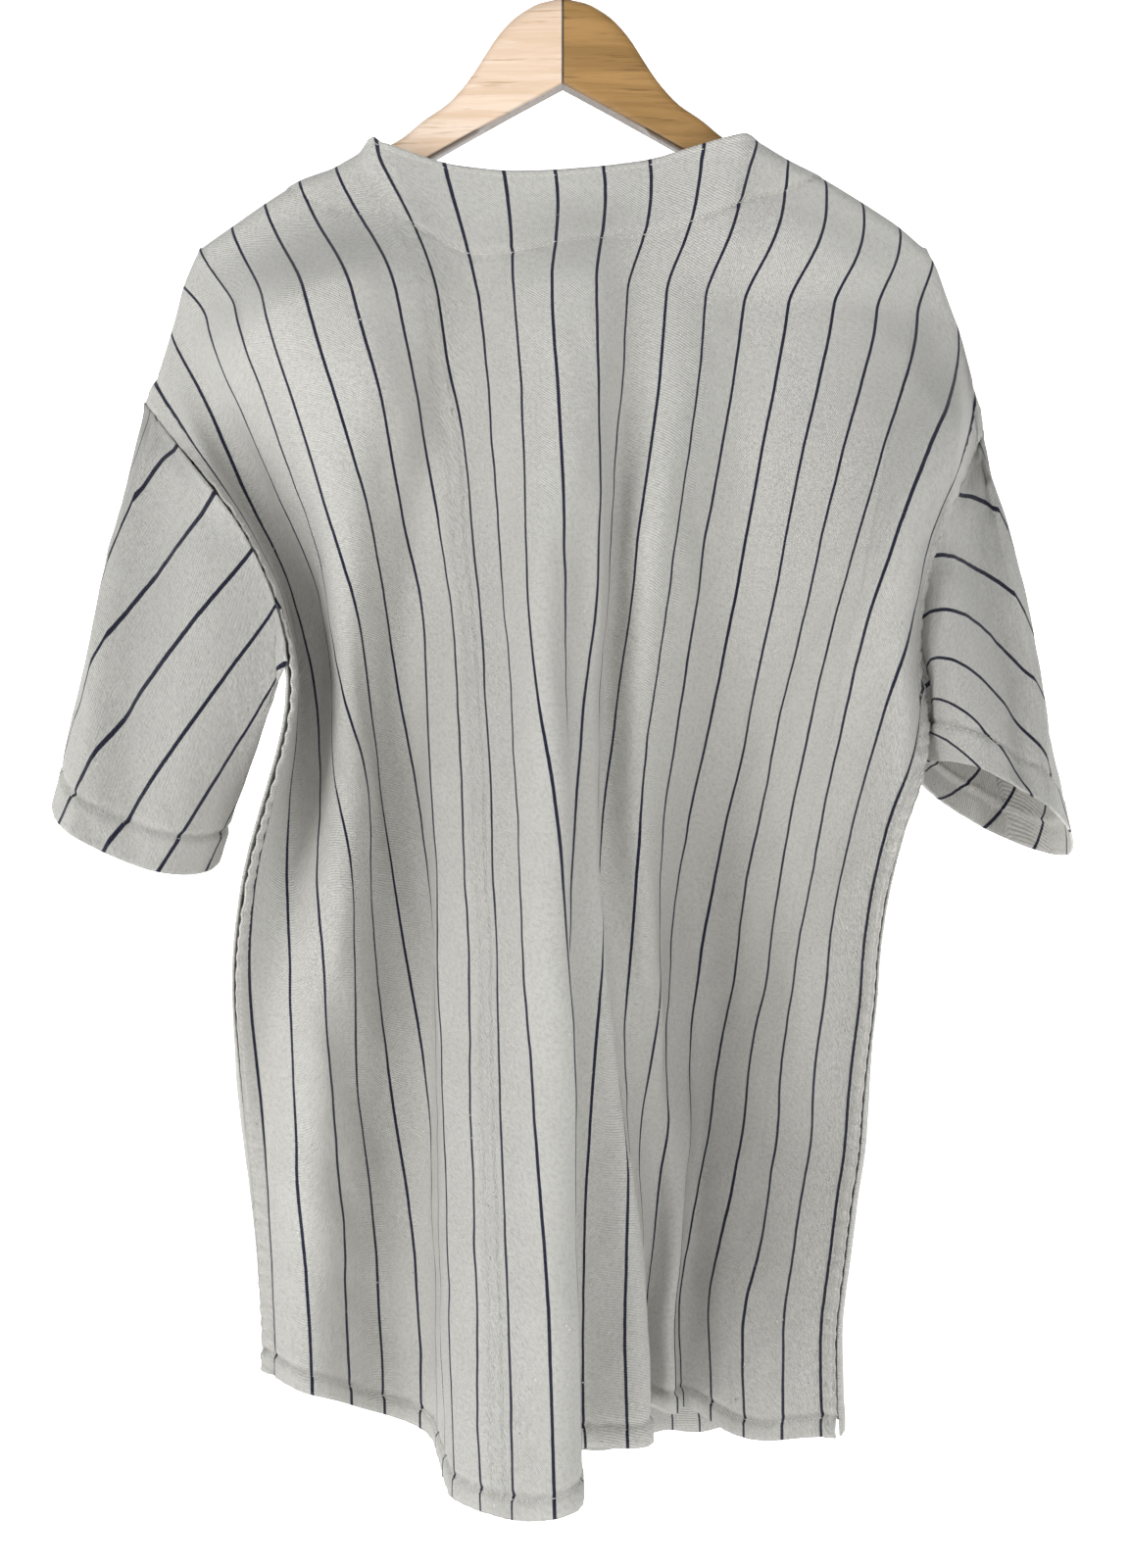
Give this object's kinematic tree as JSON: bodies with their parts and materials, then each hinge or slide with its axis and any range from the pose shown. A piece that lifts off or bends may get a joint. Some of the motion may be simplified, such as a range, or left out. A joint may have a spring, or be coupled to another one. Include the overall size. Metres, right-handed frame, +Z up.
{
  "type": "baseball jersey on a hanger",
  "caption": "Short-sleeved pinstriped baseball jersey with a button front and shaped hem, hanging in soft folds on a contoured wooden hanger.",
  "frame": {"origin": "inside top of the hanger hook, where a rail carries it", "axes": "+Z up, +X towards the wearer's right sleeve, +Y from the back of the jersey to its front"},
  "size_m": [0.5814, 0.2242, 0.9397],
  "materials": {
    "body_cotton": "matte off-white ribbed cotton knit",
    "sleeve_cotton": "matte off-white ribbed cotton knit",
    "placket_cotton": "matte off-white ribbed cotton knit",
    "neck_facing": "matte off-white cotton",
    "button": "satin off-white",
    "hanger_wood": "varnished",
    "hook_wire": "bright"
  },
  "bodies": {
    "root": {"back": "body_cotton", "front_left": "body_cotton", "front_right": "body_cotton", "front_placket": "placket_cotton", "button_1": "button", "button_2": "button", "button_3": "button", "button_4": "button", "button_5": "button", "button_6": "button", "button_7": "button", "sleeve_left": "sleeve_cotton", "sleeve_right": "sleeve_cotton", "back_neck_facing": "neck_facing", "hanger_arm_left": "hanger_wood", "hanger_arm_right": "hanger_wood", "hanger_hook": "hook_wire"}
  },
  "joints": []
}
